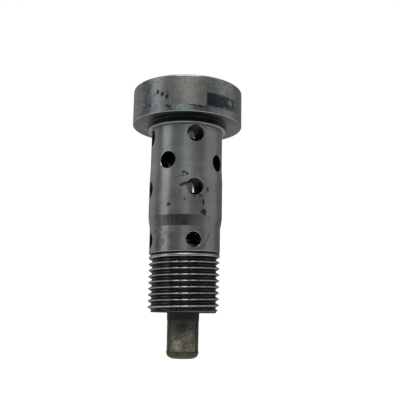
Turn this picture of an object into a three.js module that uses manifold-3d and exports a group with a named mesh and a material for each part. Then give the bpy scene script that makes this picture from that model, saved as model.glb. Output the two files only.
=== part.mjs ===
// A screw-in hydraulic cartridge valve: a central valve of the kind that steers a camshaft adjuster.
// Units are millimetres. The origin is on the axis, in the plane of the seat face under the head.
// +Z points to the head's front, where an actuator's pin pushes the spool. -Z points to the strainer.
// An azimuth is counted from -Y towards +X, in degrees.
import * as THREE from 'three';
import { mergeVertices } from 'three/addons/utils/BufferGeometryUtils.js';
import Module from 'manifold-3d';

// ---- driving dimensions -------------------------------------------------------------------------

const HEAD = { radius: 14.2, top: 9.35, topChamfer: 0.4, lowChamfer: 0.3 };
const COLLAR = { radius: 10.35, low: -1.45 };
const BARREL = { neckRadius: 9.2, neckEnd: -11, radius: 9.375, radiusFrom: -15, coneTop: -24.2 };
const SHANK = { radius: 8.95, top: -26.8, low: -32.6 };
const THREAD = { pitch: 1.5, depth: 0.9, rootFlat: 0.36, flank: 30, top: -33.35, end: -47.7 };
THREAD.chamfer = { radial: 0.95, height: 1.2 };
THREAD.fadeAzimuth = 75;
THREAD.cutBeyond = 0.05;

// Cross ports of the body. The supply row stands between the others, half a step round.
const PORT_COUNT = 4;
const PORTS = {
  advance: { z: -3.75, radius: 2.15, azimuth: 15.5 },
  supply: { z: -10.5, radius: 2.15, azimuth: -29.5 },
  retard: { z: -17.3, radius: 2.15, azimuth: 15.5 },
  tank: { z: -30.2, radius: 1.9, azimuth: 15.5 },
};

const BORE = { radius: 7.2, floor: -33.3, shoulder: 2.55 };
const FRONT_BORE = { radius: 7.5, top: 4.9 };
const RING_GROOVE = { radius: 8.1, low: 3.32, high: 4.3 };
const DRIVE = { acrossFlats: 16, sides: 6 };
const TAIL_BORE = { radius: 4.6, mouthRadius: 5.2, mouthTop: -46.5 };

const SLEEVE = { radius: 7.15, inner: 5.85, top: 2.5, low: -33.2, floorTop: -31.6, edge: 0.3 };
const WINDOW_MARGIN = 0.15;
const FEED_GROOVE = { width: 2.4, floor: 6.45, top: -9.2, slotTop: -32.2, slotInner: 3.0 };

const SPOOL = { radius: 5.8, neck: 3.5, flatCount: 3 };
SPOOL.frontLand = { low: -4.3, high: 0.5 };
SPOOL.rearLand = { low: -18.3, high: -13.5 };
SPOOL.guide = { low: -25.4, high: -21.9, flat: 5.2 };
SPOOL.collar = { low: 1.6, high: 2.5, radius: 5.2, flat: 4.5 };
SPOOL.stem = { radius: 2.6, top: 4.2 };
SPOOL.springBore = { radius: 4.3, top: -22.9 };
SPOOL.buttonBore = { radius: 1.6, floor: 1.8 };
const BUTTON = { shankRadius: 1.55, low: 1.9, shoulder: 4.25, radius: 2.9, top: 5.25, dome: 0.35 };

const SEAT_DISC = { radius: 5.6, hole: 2.4, low: -31.55, high: -31.1 };
const RETURN_SPRING = { wire: 0.32, radius: 3.7, low: -31.05, high: -22.95, deadTurns: 1, turns: 5.5 };
const COIL_GAP = 0.06;
const STOP_WASHER = { radius: 7.4, hole: 3.3, low: 2.6, high: 3.25, notchReach: 6.2, notchWidth: 2.4 };
const SNAP_RING = { outer: 8.0, inner: 6.4, low: 3.37, high: 4.25, gap: 4.6, eyeRadius: 0.5 };

const CAGE = { radius: 4.55, inner: 4.05, low: -41.3, high: -33.6, plate: 0.9 };
CAGE.hole = { radius: 0.85, reach: 2.75, count: 4 };
const VALVE_SEAT = { radius: 4.55, hole: 2.0, coneRadius: 2.75, low: -43.9, high: -41.4 };
const BALL = { radius: 2.6, clearance: 0.06 };
const BALL_SPRING = { wire: 0.175, radius: 1.55, high: -34.55, deadTurns: 0.75, turns: 4.5 };

const STRAINER = { radius: 4.05, waist: 3.98, inner: 3.05, flange: 4.5, low: -58.7, high: -44.0 };
STRAINER.flangeLow = -46.6;
STRAINER.neckLow = -49.6;
STRAINER.capTop = -56.9;
STRAINER.capInner = -57.7;
STRAINER.chamfer = 0.85;
STRAINER.rib = { count: 3, azimuth: 62, width: 1.5 };
STRAINER.sealGroove = { radius: 3.72, z: -45.2, half: 0.5 };
const SCREEN = { outer: 3.92, inner: 3.72, gap: 0.06 };
const SEAL = { centre: 4.13, section: 0.4 };
const LOCK_RING = { outer: 5.15, inner: 4.2, low: -47.4, high: -46.75 };
LOCK_RING.notch = { count: 8, width: 0.9, from: 4.83 };

// Facets round a circle. Nested pieces share them, so that their walls stay parallel.
const ROUND = 32;
const BODY_ROUND = 48;
const THREAD_ROUND = 24;
const HOLE_ROUND = 16;
const SMALL_ROUND = 8;
const WIRE_ROUND = 16;
const WIRE_SIDES = 5;

// How far a cutter runs past what it cuts, and how near two corners are one.
const BEYOND = 0.5;
const MERGE = 1e-4;

const COLOURS = {
  bodySteel: [0x7b7f7d, 0.38, 0.95],
  innerSteel: [0x6b6e6e, 0.3, 0.95],
  springSteel: [0x585a5c, 0.35, 0.95],
  hardSteel: [0x9b9ea0, 0.15, 1.0],
  plastic: [0x4b4a35, 0.6, 0.0],
  screenWire: [0x6b6a5c, 0.5, 0.4],
  rubber: [0x1c1c1c, 0.75, 0.0],
};

// ---- solids -------------------------------------------------------------------------------------

const wasm = await Module();
wasm.setup();

const radians = THREE.MathUtils.degToRad;

// A closed three.js geometry as a solid.
function toSolid(geometry) {
  const bare = geometry.index ? geometry.toNonIndexed() : geometry.clone();
  bare.deleteAttribute('normal');
  bare.deleteAttribute('uv');
  const merged = mergeVertices(bare, MERGE);
  const corners = merged.index.array;
  const triVerts = [];
  for (let i = 0; i < corners.length; i += 3) {
    const [a, b, c] = corners.slice(i, i + 3);
    if (a !== b && b !== c && c !== a) triVerts.push(a, b, c);
  }
  const mesh = new wasm.Mesh({
    numProp: 3,
    vertProperties: Float32Array.from(merged.attributes.position.array),
    triVerts: Uint32Array.from(triVerts),
  });
  return new wasm.Manifold(mesh);
}

// A solid as a three.js geometry.
function toGeometry(solid) {
  const mesh = solid.getMesh();
  const geometry = new THREE.BufferGeometry();
  geometry.setAttribute('position', new THREE.BufferAttribute(mesh.vertProperties, 3));
  geometry.setIndex(new THREE.BufferAttribute(mesh.triVerts, 1));
  return geometry;
}

// Turns an outline of [radius, z] points round Z. It runs up the outside and down the inside.
function turned(outline, segments = ROUND) {
  const onAxis = outline[0][0] === 0;
  const closed = onAxis ? outline : [...outline, outline[0]];
  const points = closed.map(([r, z]) => new THREE.Vector2(r, z));
  return toSolid(new THREE.LatheGeometry(points, segments).rotateX(Math.PI / 2));
}

function tube(outer, inner, low, high) {
  return turned([[inner, low], [outer, low], [outer, high], [inner, high]]);
}

function rod(radius, low, high) {
  return turned([[0, low], [radius, low], [radius, high], [0, high]]);
}

// A round drill that runs along Z, off the axis.
function uprightDrill(radius, low, high, reach, azimuth) {
  const drill = new THREE.CylinderGeometry(radius, radius, high - low, SMALL_ROUND);
  drill.rotateX(Math.PI / 2).translate(0, -reach, (low + high) / 2).rotateZ(radians(azimuth));
  return toSolid(drill);
}

// A round drill that points away from the axis.
function radialDrill(radius, from, to, z, azimuth) {
  const drill = new THREE.CylinderGeometry(radius, radius, to - from, HOLE_ROUND);
  drill.translate(0, -(from + to) / 2, 0).rotateZ(radians(azimuth)).translate(0, 0, z);
  return toSolid(drill);
}

// A box that runs from one radius to another, away from the axis.
function radialBox(width, from, to, low, high, azimuth) {
  const box = new THREE.BoxGeometry(width, to - from, high - low);
  box.translate(0, -(from + to) / 2, (low + high) / 2).rotateZ(radians(azimuth));
  return toSolid(box);
}

// The azimuths of a feature that repeats round the axis.
function around(count, first) {
  return Array.from({ length: count }, (_, i) => first + (i * 360) / count);
}

// Sweeps a closed section round the axis. section(azimuth) gives its [radius, z] points, which run
// anticlockwise with the radius to the right and z up.
function helicalSweep(section, azimuthFrom, azimuthTo, steps) {
  const rings = [];
  for (let i = 0; i <= steps; i += 1) {
    const azimuth = azimuthFrom + ((azimuthTo - azimuthFrom) * i) / steps;
    const angle = radians(azimuth);
    rings.push(section(azimuth).map(([r, z]) => [r * Math.sin(angle), -r * Math.cos(angle), z]));
  }
  const sides = rings[0].length;
  const index = [];
  for (let i = 0; i < steps; i += 1) {
    for (let j = 0; j < sides; j += 1) {
      const a = i * sides + j;
      const b = i * sides + ((j + 1) % sides);
      index.push(a, b + sides, b, a, a + sides, b + sides);
    }
  }
  const last = steps * sides;
  for (let j = 1; j < sides - 1; j += 1) {
    index.push(0, j, j + 1);
    index.push(last, last + j + 1, last + j);
  }
  const geometry = new THREE.BufferGeometry();
  geometry.setAttribute('position', new THREE.Float32BufferAttribute(rings.flat(2), 3));
  geometry.setIndex(index);
  return toSolid(geometry);
}

// A coil spring whose end turns lie flat and close to each other.
function coilSpring({ wire, radius, low, high, deadTurns, turns }) {
  const lowest = low + wire;
  const highest = high - wire;
  const deadPitch = 2 * wire + COIL_GAP;
  const deadRise = deadTurns * deadPitch;
  const livePitch = (highest - lowest - 2 * deadRise) / (turns - 2 * deadTurns);
  const heightAt = (turn) => {
    if (turn < deadTurns) return lowest + turn * deadPitch;
    if (turn > turns - deadTurns) return highest - (turns - turn) * deadPitch;
    return lowest + deadRise + (turn - deadTurns) * livePitch;
  };
  const section = (azimuth) =>
    around(WIRE_SIDES, 0).map((side) => [
      radius + wire * Math.cos(radians(side)),
      heightAt(azimuth / 360) + wire * Math.sin(radians(side)),
    ]);
  return helicalSweep(section, 0, turns * 360, Math.round(turns * WIRE_ROUND));
}

// ---- the body -----------------------------------------------------------------------------------

// The groove of the right-hand thread. Its depth fades out over the last turn, below the shank.
function threadGroove() {
  const { pitch, top, end, depth, rootFlat, flank, fadeAzimuth, cutBeyond } = THREAD;
  const outer = SHANK.radius + cutBeyond;
  const section = (azimuth) => {
    const fade = Math.min(1, (fadeAzimuth - azimuth) / 360);
    const root = SHANK.radius - depth * fade;
    const z = top + (pitch * azimuth) / 360;
    const rootHalf = rootFlat / 2;
    const outerHalf = rootHalf + (outer - root) * Math.tan(radians(flank));
    return [[root, z - rootHalf], [outer, z - outerHalf], [outer, z + outerHalf], [root, z + rootHalf]];
  };
  const turnCount = Math.ceil((top - end) / pitch) + 1;
  const first = fadeAzimuth - turnCount * 360;
  return helicalSweep(section, first, fadeAzimuth, turnCount * THREAD_ROUND);
}

function threadedEnd() {
  const { end, chamfer } = THREAD;
  const blank = turned([
    [0, end],
    [SHANK.radius - chamfer.radial, end],
    [SHANK.radius, end + chamfer.height],
    [SHANK.radius, SHANK.low + BEYOND],
    [0, SHANK.low + BEYOND],
  ], THREAD_ROUND);
  return blank.subtract(threadGroove());
}

function bodyBlank() {
  return turned([
    [0, SHANK.low],
    [SHANK.radius, SHANK.low],
    [SHANK.radius, SHANK.top],
    [BARREL.radius, BARREL.coneTop],
    [BARREL.radius, BARREL.radiusFrom],
    [BARREL.neckRadius, BARREL.neckEnd],
    [BARREL.neckRadius, COLLAR.low],
    [COLLAR.radius, COLLAR.low],
    [COLLAR.radius, 0],
    [HEAD.radius - HEAD.lowChamfer, 0],
    [HEAD.radius, HEAD.lowChamfer],
    [HEAD.radius, HEAD.top - HEAD.topChamfer],
    [HEAD.radius - HEAD.topChamfer, HEAD.top],
    [0, HEAD.top],
  ], BODY_ROUND);
}

// Everything that is bored along the axis, from the tail to the drive recess.
function bodyBore() {
  const mouth = TAIL_BORE.mouthRadius;
  const stepped = turned([
    [0, THREAD.end - BEYOND],
    [mouth, THREAD.end - BEYOND],
    [mouth, TAIL_BORE.mouthTop],
    [TAIL_BORE.radius, TAIL_BORE.mouthTop],
    [TAIL_BORE.radius, BORE.floor],
    [BORE.radius, BORE.floor],
    [BORE.radius, BORE.shoulder],
    [FRONT_BORE.radius, BORE.shoulder],
    [FRONT_BORE.radius, RING_GROOVE.low],
    [RING_GROOVE.radius, RING_GROOVE.low],
    [RING_GROOVE.radius, RING_GROOVE.high],
    [FRONT_BORE.radius, RING_GROOVE.high],
    [FRONT_BORE.radius, FRONT_BORE.top + BEYOND],
    [0, FRONT_BORE.top + BEYOND],
  ]);
  const flat = DRIVE.acrossFlats / 2;
  const corner = flat / Math.cos(Math.PI / DRIVE.sides);
  const depth = HEAD.top + BEYOND - FRONT_BORE.top;
  const hexagon = new THREE.CylinderGeometry(corner, corner, depth, DRIVE.sides);
  hexagon.rotateX(Math.PI / 2).translate(0, 0, FRONT_BORE.top + depth / 2);
  const leadIn = turned([
    [0, HEAD.top - (corner - flat)],
    [flat, HEAD.top - (corner - flat)],
    [corner + BEYOND, HEAD.top + BEYOND],
    [0, HEAD.top + BEYOND],
  ], BODY_ROUND);
  return stepped.add(toSolid(hexagon)).add(leadIn);
}

function valveBody() {
  let solid = bodyBlank().add(threadedEnd()).subtract(bodyBore());
  for (const port of Object.values(PORTS)) {
    for (const azimuth of around(PORT_COUNT, port.azimuth)) {
      const drill = radialDrill(port.radius, BORE.radius - BEYOND, HEAD.radius, port.z, azimuth);
      solid = solid.subtract(drill);
    }
  }
  return solid;
}

// ---- sleeve, spool and what holds them ------------------------------------------------------------

// A cup with windows behind the ports. Four grooves outside carry the supply past the tank row.
function portSleeve() {
  const { radius, inner, top, low, floorTop, edge } = SLEEVE;
  let solid = turned([
    [0, low],
    [radius - edge, low],
    [radius, low + edge],
    [radius, top],
    [inner, top],
    [inner, floorTop],
    [0, floorTop],
  ]);
  const outside = radius + BEYOND;
  const inside = inner - BEYOND;
  for (const port of Object.values(PORTS)) {
    for (const azimuth of around(PORT_COUNT, port.azimuth)) {
      solid = solid.subtract(
        radialDrill(port.radius + WINDOW_MARGIN, inside, outside, port.z, azimuth));
    }
  }
  for (const azimuth of around(PORT_COUNT, PORTS.supply.azimuth)) {
    const { width, floor, top: grooveTop, slotTop, slotInner } = FEED_GROOVE;
    solid = solid.subtract(radialBox(width, floor, outside, low - BEYOND, grooveTop, azimuth));
    solid = solid.subtract(radialBox(width, slotInner, outside, low - BEYOND, slotTop, azimuth));
  }
  return solid;
}

// Two sealing lands, a guide with drain flats, a stop collar and a stem for the button.
function controlSpool() {
  const { radius, neck, frontLand, rearLand, guide, collar, stem, springBore, buttonBore } = SPOOL;
  let solid = turned([
    [0, guide.low],
    [radius, guide.low],
    [radius, guide.high],
    [neck, guide.high],
    [neck, rearLand.low],
    [radius, rearLand.low],
    [radius, rearLand.high],
    [neck, rearLand.high],
    [neck, frontLand.low],
    [radius, frontLand.low],
    [radius, frontLand.high],
    [stem.radius, frontLand.high],
    [stem.radius, collar.low],
    [collar.radius, collar.low],
    [collar.radius, collar.high],
    [stem.radius, collar.high],
    [stem.radius, stem.top],
    [0, stem.top],
  ]);
  solid = solid.subtract(rod(springBore.radius, guide.low - BEYOND, springBore.top));
  solid = solid.subtract(rod(buttonBore.radius, buttonBore.floor, stem.top + BEYOND));
  for (const { low, high, flat } of [guide, collar]) {
    for (const azimuth of around(SPOOL.flatCount, 0)) {
      solid = solid.subtract(
        radialBox(2 * radius, flat, radius + BEYOND, low - BEYOND, high + BEYOND, azimuth));
    }
  }
  return solid;
}

function spoolButton() {
  const { shankRadius, low, shoulder, radius, top, dome } = BUTTON;
  return turned([
    [0, low],
    [shankRadius, low],
    [shankRadius, shoulder],
    [radius, shoulder],
    [radius, top - dome],
    [radius - dome, top],
    [0, top],
  ]);
}

function springSeat() {
  return tube(SEAT_DISC.radius, SEAT_DISC.hole, SEAT_DISC.low, SEAT_DISC.high);
}

function stopWasher() {
  const { radius, hole, low, high, notchReach, notchWidth } = STOP_WASHER;
  let solid = tube(radius, hole, low, high);
  for (const azimuth of around(PORT_COUNT, 0)) {
    solid = solid.subtract(radialBox(notchWidth, 0, notchReach, low - BEYOND, high + BEYOND, azimuth));
  }
  return solid;
}

// A snap ring with an eye at each end of its gap.
function retainingRing() {
  const { outer, inner, low, high, gap, eyeRadius } = SNAP_RING;
  const middle = (outer + inner) / 2;
  let solid = tube(outer, inner, low, high);
  solid = solid.subtract(radialBox(gap, 0, outer + BEYOND, low - BEYOND, high + BEYOND, 0));
  const eyeAzimuth = THREE.MathUtils.radToDeg(Math.asin((gap / 2 + 2 * eyeRadius) / middle));
  for (const azimuth of [-eyeAzimuth, eyeAzimuth]) {
    solid = solid.subtract(uprightDrill(eyeRadius, low - BEYOND, high + BEYOND, middle, azimuth));
  }
  return solid;
}

// ---- check valve ----------------------------------------------------------------------------------

// The ball's centre when it lies on the cone of its seat.
function ballCentre() {
  const lean = Math.sqrt(BALL.radius ** 2 - VALVE_SEAT.hole ** 2);
  return seatEdge() + lean + BALL.clearance;
}

// The height of the sealing edge, where the seat's hole meets its cone.
function seatEdge() {
  return VALVE_SEAT.high - (VALVE_SEAT.coneRadius - VALVE_SEAT.hole);
}

function checkValveSeat() {
  const { radius, hole, coneRadius, low, high } = VALVE_SEAT;
  return turned([[hole, low], [radius, low], [radius, high], [coneRadius, high], [hole, seatEdge()]]);
}

function checkBall() {
  const ball = new THREE.SphereGeometry(BALL.radius, HOLE_ROUND, HOLE_ROUND);
  return toSolid(ball.rotateX(Math.PI / 2).translate(0, 0, ballCentre()));
}

function checkValveCage() {
  const { radius, inner, low, high, plate, hole } = CAGE;
  const plateLow = high - plate;
  let solid = turned([
    [0, plateLow],
    [inner, plateLow],
    [inner, low],
    [radius, low],
    [radius, high],
    [0, high],
  ]);
  for (const azimuth of around(hole.count, PORTS.supply.azimuth)) {
    solid = solid.subtract(
      uprightDrill(hole.radius, plateLow - BEYOND, high + BEYOND, hole.reach, azimuth));
  }
  return solid;
}

function checkSpring() {
  const contact = Math.sqrt(BALL.radius ** 2 - BALL_SPRING.radius ** 2);
  const low = ballCentre() + contact + BALL.clearance;
  return coilSpring({ ...BALL_SPRING, low });
}

// ---- strainer -------------------------------------------------------------------------------------

// The moulded frame: a flange in the bore, a neck, ribs and an end cap.
function strainerFrame() {
  const { radius, waist, inner, flange, low, high, flangeLow, neckLow } = STRAINER;
  const { capTop, capInner, chamfer, sealGroove, rib } = STRAINER;
  let solid = turned([
    [inner, neckLow],
    [waist, neckLow],
    [radius, flangeLow],
    [flange, flangeLow],
    [flange, sealGroove.z - sealGroove.half],
    [sealGroove.radius, sealGroove.z - sealGroove.half],
    [sealGroove.radius, sealGroove.z + sealGroove.half],
    [flange, sealGroove.z + sealGroove.half],
    [flange, high],
    [inner, high],
  ]);
  const cap = turned([
    [0, low],
    [radius - chamfer, low],
    [radius, low + chamfer],
    [waist, capTop],
    [inner, capTop],
    [inner, capInner],
    [0, capInner],
  ]);
  solid = solid.add(cap);
  const wall = tube(waist, inner, capTop - BEYOND, neckLow + BEYOND);
  const outside = radius + BEYOND;
  for (const azimuth of around(rib.count, rib.azimuth)) {
    const bar = radialBox(rib.width, inner - BEYOND, outside, capTop - BEYOND, neckLow + BEYOND, azimuth);
    solid = solid.add(wall.intersect(bar));
  }
  return solid;
}

// One panel of screen between two ribs.
function strainerScreen(number) {
  const { rib, neckLow, capTop } = STRAINER;
  const step = 360 / rib.count;
  let solid = tube(SCREEN.outer, SCREEN.inner, capTop + SCREEN.gap, neckLow - SCREEN.gap);
  for (const azimuth of around(rib.count, rib.azimuth)) {
    const width = rib.width + 2 * SCREEN.gap;
    solid = solid.subtract(radialBox(width, 0, STRAINER.radius + BEYOND, capTop, neckLow, azimuth));
  }
  const middle = radians(rib.azimuth + (number - 0.5) * step);
  return solid.decompose().find((panel) => {
    const { min, max } = panel.boundingBox();
    const x = (min[0] + max[0]) / 2;
    const y = (min[1] + max[1]) / 2;
    const towards = (x * Math.sin(middle) - y * Math.cos(middle)) / Math.hypot(x, y);
    return towards > Math.cos(radians(step / 2));
  });
}

function strainerSeal() {
  const ring = new THREE.TorusGeometry(SEAL.centre, SEAL.section, SMALL_ROUND, ROUND);
  return toSolid(ring.rotateZ(Math.PI / 2).translate(0, 0, STRAINER.sealGroove.z));
}

// A toothed lock ring in the mouth of the tail bore.
function strainerLockRing() {
  const { outer, inner, low, high, notch } = LOCK_RING;
  let solid = tube(outer, inner, low, high);
  for (const azimuth of around(notch.count, 0)) {
    solid = solid.subtract(
      radialBox(notch.width, notch.from, outer + BEYOND, low - BEYOND, high + BEYOND, azimuth));
  }
  return solid;
}

// ---- assembly -------------------------------------------------------------------------------------

function piece(name, solid, [colour, roughness, metalness]) {
  const material = new THREE.MeshStandardMaterial({ color: colour, roughness, metalness });
  const mesh = new THREE.Mesh(toGeometry(solid), material);
  mesh.name = name;
  return mesh;
}

const valve = new THREE.Group();

const housing = new THREE.Group();
housing.add(piece('valve_body', valveBody(), COLOURS.bodySteel));
housing.add(piece('port_sleeve', portSleeve(), COLOURS.innerSteel));
housing.add(piece('spring_seat', springSeat(), COLOURS.springSteel));
housing.add(piece('return_spring', coilSpring(RETURN_SPRING), COLOURS.springSteel));
housing.add(piece('stop_washer', stopWasher(), COLOURS.springSteel));
housing.add(piece('retaining_ring', retainingRing(), COLOURS.springSteel));

const spool = new THREE.Group();
spool.add(piece('control_spool', controlSpool(), COLOURS.hardSteel));
spool.add(piece('spool_button', spoolButton(), COLOURS.hardSteel));

const checkValve = new THREE.Group();
checkValve.add(piece('check_valve_cage', checkValveCage(), COLOURS.innerSteel));
checkValve.add(piece('check_valve_seat', checkValveSeat(), COLOURS.innerSteel));
checkValve.add(piece('check_spring', checkSpring(), COLOURS.springSteel));
checkValve.add(piece('check_ball', checkBall(), COLOURS.hardSteel));

const strainer = new THREE.Group();
strainer.add(piece('strainer_frame', strainerFrame(), COLOURS.plastic));
strainer.add(piece('strainer_seal_ring', strainerSeal(), COLOURS.rubber));
strainer.add(piece('strainer_lock_ring', strainerLockRing(), COLOURS.springSteel));
for (let number = 1; number <= STRAINER.rib.count; number += 1) {
  strainer.add(piece(`strainer_screen_${number}`, strainerScreen(number), COLOURS.screenWire));
}

valve.add(housing, spool, checkValve, strainer);

export default valve;
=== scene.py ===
import math
from functools import partial

import bpy
import numpy as np
from mathutils import Matrix, Vector


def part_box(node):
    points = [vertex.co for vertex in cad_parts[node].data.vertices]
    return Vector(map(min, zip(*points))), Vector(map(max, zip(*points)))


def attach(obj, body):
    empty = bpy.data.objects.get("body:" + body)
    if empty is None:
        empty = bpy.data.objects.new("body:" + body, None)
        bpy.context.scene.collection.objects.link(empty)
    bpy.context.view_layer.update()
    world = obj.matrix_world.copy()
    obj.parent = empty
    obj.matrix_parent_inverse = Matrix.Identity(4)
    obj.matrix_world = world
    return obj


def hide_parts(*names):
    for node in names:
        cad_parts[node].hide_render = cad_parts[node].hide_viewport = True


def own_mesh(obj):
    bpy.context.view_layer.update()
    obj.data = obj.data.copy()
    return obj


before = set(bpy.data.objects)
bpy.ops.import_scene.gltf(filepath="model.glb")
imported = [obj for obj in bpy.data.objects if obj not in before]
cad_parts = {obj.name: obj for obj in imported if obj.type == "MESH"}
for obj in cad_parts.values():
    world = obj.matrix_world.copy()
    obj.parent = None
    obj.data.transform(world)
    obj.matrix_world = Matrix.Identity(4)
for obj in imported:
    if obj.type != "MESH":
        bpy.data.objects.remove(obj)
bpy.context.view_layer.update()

MM = 0.001
SEGMENTS = 192
INNER_SEGMENTS = 128
RING_SEGMENTS = 96
SIDES = {"port": 64, "window": 48, "rod": 32, "seal": 24, "dome": 48}
BALL_ROWS = 49
SMOOTH = math.radians(32)
SMOOTH_WIRE = math.radians(60)
EASE = 0.12
EASE_STEPS = 3
GUARD = 0.06
ROW_STEP = 0.6
LEAD_IN_ROWS = 8

# ---- dimensions, in millimetres -----------------------------------------------------------------

HEAD = {"radius": 14.2, "top": 9.35, "top_ease": 0.45, "low_ease": 0.3}
COLLAR = {"radius": 10.35, "low": -1.45}
BARREL = {"neck": 9.2, "neck_end": -11.0, "radius": 9.375, "from": -15.0, "cone": -24.2}
SHANK = {"radius": 8.95, "top": -26.8}
THREAD = {"pitch": 1.5, "depth": 0.9, "root_half": 0.18, "flank": math.tan(math.radians(30)),
          "top": -33.35, "end": -47.7, "rows_from": -32.3, "row": 0.06, "fade": 75.0, "soft": 0.11,
          "chamfer": 0.95, "chamfer_height": 1.2}
RUN_OUT = {"share": 0.3, "end": 100.0, "length": 25.0}
DRIVE = {"across_flats": 16.0, "sides": 6}
FRONT_BORE = {"radius": 7.5, "top": 4.9}
RING_GROOVE = {"radius": 8.1, "low": 3.32, "high": 4.3}
BORE = {"radius": 7.2, "floor": -33.3, "shoulder": 2.55}
TAIL_BORE = {"radius": 4.6, "mouth": 5.2, "mouth_top": -46.5}
PORT_COUNT = 4
PORTS = {
    "advance": {"z": -3.75, "radius": 2.15, "azimuth": 15.5, "wall": 9.2},
    "supply": {"z": -10.5, "radius": 2.15, "azimuth": -29.5, "wall": 9.2},
    "retard": {"z": -17.3, "radius": 2.15, "azimuth": 15.5, "wall": 9.375},
    "tank": {"z": -30.2, "radius": 1.9, "azimuth": 15.5, "wall": 8.95},
}
PORT_EDGE = 0.07
SLEEVE = {"radius": 7.15, "inner": 5.85, "floor_top": -31.6}
WINDOW_MARGIN = 0.15
FEED_GROOVE = {"width": 2.4, "floor": 6.45, "top": -9.2, "slot_top": -32.2, "slot_inner": 3.0}
SPOOL = {"radius": 5.8, "neck": 3.5, "front": (-4.3, 0.5), "rear": (-18.3, -13.5), "guide": (-25.4, -21.9),
         "collar": (1.6, 2.5), "collar_radius": 5.2, "collar_flat": 4.5, "guide_flat": 5.2, "flats": 3,
         "stem": 2.6, "top": 4.2, "spring_bore": (4.3, -22.9), "button_bore": (1.6, 1.8)}
BUTTON = {"shank": 1.55, "shoulder": 4.25, "radius": 2.9, "dome": 0.35}
RETURN_SPRING = {"wire": 0.32, "radius": 3.7, "dead": 1.0, "turns": 5.5}
CHECK_SPRING = {"wire": 0.175, "radius": 1.55, "dead": 0.75, "turns": 4.5}
COIL_GAP = 0.06
WIRE_SIDES = 12
WIRE_STEPS = 32
WASHER = {"hole": 3.3, "reach": 6.2, "notch": 2.4}
SEAT_HOLE = 2.4
SNAP_RING = {"inner": 6.4, "gap": 4.6, "eye": 0.5}
CAGE = {"inner": 4.05, "plate": 0.9, "hole": 0.85, "reach": 2.75}
CHECK_SEAT = {"hole": 2.0, "cone": 2.75}
STRAINER = {"radius": 4.05, "waist": 3.98, "inner": 3.05, "flange": 4.5, "flange_low": -46.6,
            "neck_low": -49.6, "cap_top": -56.9, "cap_inner": -57.7, "nose": 1.05, "rib_azimuth": 62.0,
            "rib_width": 1.5, "ribs": 3, "seal_groove": 3.72, "seal_z": -45.2, "seal_half": 0.5}
RIB = {"inset": 0.02, "rounding": 0.12, "points": 9}
SEAL = {"centre": 4.13, "section": 0.4}
LOCK_RING = {"inner": 4.2, "notches": 8, "width": 0.9, "from": 4.83}
WEAVE = {"radius": 3.76, "wire": 0.13, "step": 0.4, "lift": 0.06, "samples": 4, "sides": 6, "margin": 0.25}
BEYOND = 0.5

# ---- marks on the steel -----------------------------------------------------------------------------
# A blot is an azimuth and a height, its half width and half height, and how far it leans, in degrees.

HEAD_BLOTS = (
    (-24.5, 4.6, 0.55, 0.6, 0),
    (-19.5, 3.9, 0.6, 0.5, 20),
    (-17.5, 1.3, 0.9, 0.3, -25),
    (-30.0, 5.3, 0.5, 0.7, 0),
    (7.0, 1.5, 1.6, 0.14, -5),
    (15.0, 1.3, 1.2, 0.2, -8),
)
BARREL_BLOTS = (
    (-2.4, -13.9, 0.6, 0.4, 0), (2.7, -14.3, 0.45, 0.5, 30), (-4.1, -14.75, 0.9, 0.2, 0),
    (-2.6, -16.9, 1.3, 0.5, 25), (36.4, -17.8, 0.4, 0.55, 0), (29.1, -21.05, 0.35, 0.75, 0),
    (29.7, -23.45, 0.95, 0.85, 0), (-24.5, -21.8, 0.65, 0.5, 20), (-0.7, -20.6, 0.22, 0.45, 0),
    (-7.5, -18.5, 0.2, 0.22, 0), (14.0, -19.75, 0.4, 0.2, 0), (23.6, -19.55, 0.35, 0.25, 0),
)
# A zone is two azimuths and how softly it ends there, then the same for two heights.
ZONES = {
    "label": ((-23.3, 20.3, 0.3), (1.85, 9.3, 0.06)),
    "patch": ((20.6, 62.0, 0.6), (1.7, 5.1, 0.35)),
    "specks": ((-50.0, -13.0, 6.0), (0.6, 6.2, 1.2)),
    "smear": ((-55.0, -20.0, 8.0), (-32.4, -27.4, 0.5)),
}

# ---- the studio: degrees, millimetres, and metres for the far things --------------------------------

CAMERA = {"lens": 54.0, "sensor": 36.0, "near": 0.005, "place": (3.7, -151.9, -46.72), "pitch": 10.3,
          "roll": 1.0}
MIDDLE = -25.0
LIGHT_DISTANCE = 0.6
FLOOR = {"z": -115.0, "half": 1.5, "glow": 0.85}
DOME = 3.0
STRIP = ("strip", 49.0, 7.5, 26.6, 8.0, 9.0)
# The room's brightness at a height from -1, straight down, to 1, straight up: both ends, then the rest.
ROOM = ((-1.0, 0.8), (1.0, 0.45), (-0.5, 0.6), (-0.3, 0.2), (-0.12, 0.08), (0.05, 0.12), (0.3, 0.16),
        (0.6, 0.3))
# A light is its name, azimuth, elevation, angular width and height, and radiance.
LIGHTS = (
    ("key", -66, 14, 26, 60, 0.42),
    ("front", 2, 16, 24, 30, 0.17),
    ("right", 88, 14, 46, 60, 0.14),
    ("left", -128, 14, 44, 60, 0.15),
    ("top", 0, 58, 40, 40, 2.4),
)


# ---- mesh tools ---------------------------------------------------------------------------------

def span(node):
    """The outer radius, the lowest and the highest z of a CAD node, in millimetres."""
    low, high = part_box(node)
    return high.x / MM, low.z / MM, high.z / MM


def around(count, first=0.0):
    """Azimuths at even steps all the way round."""
    return [first + i * 360.0 / count for i in range(count)]


def angles(count):
    """The angles round a circle, in radians."""
    return [math.radians(a) for a in around(count)]


def turn(azimuth):
    """The rotation that takes -Y to an azimuth."""
    return Matrix.Rotation(math.radians(azimuth), 3, "Z")


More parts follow.
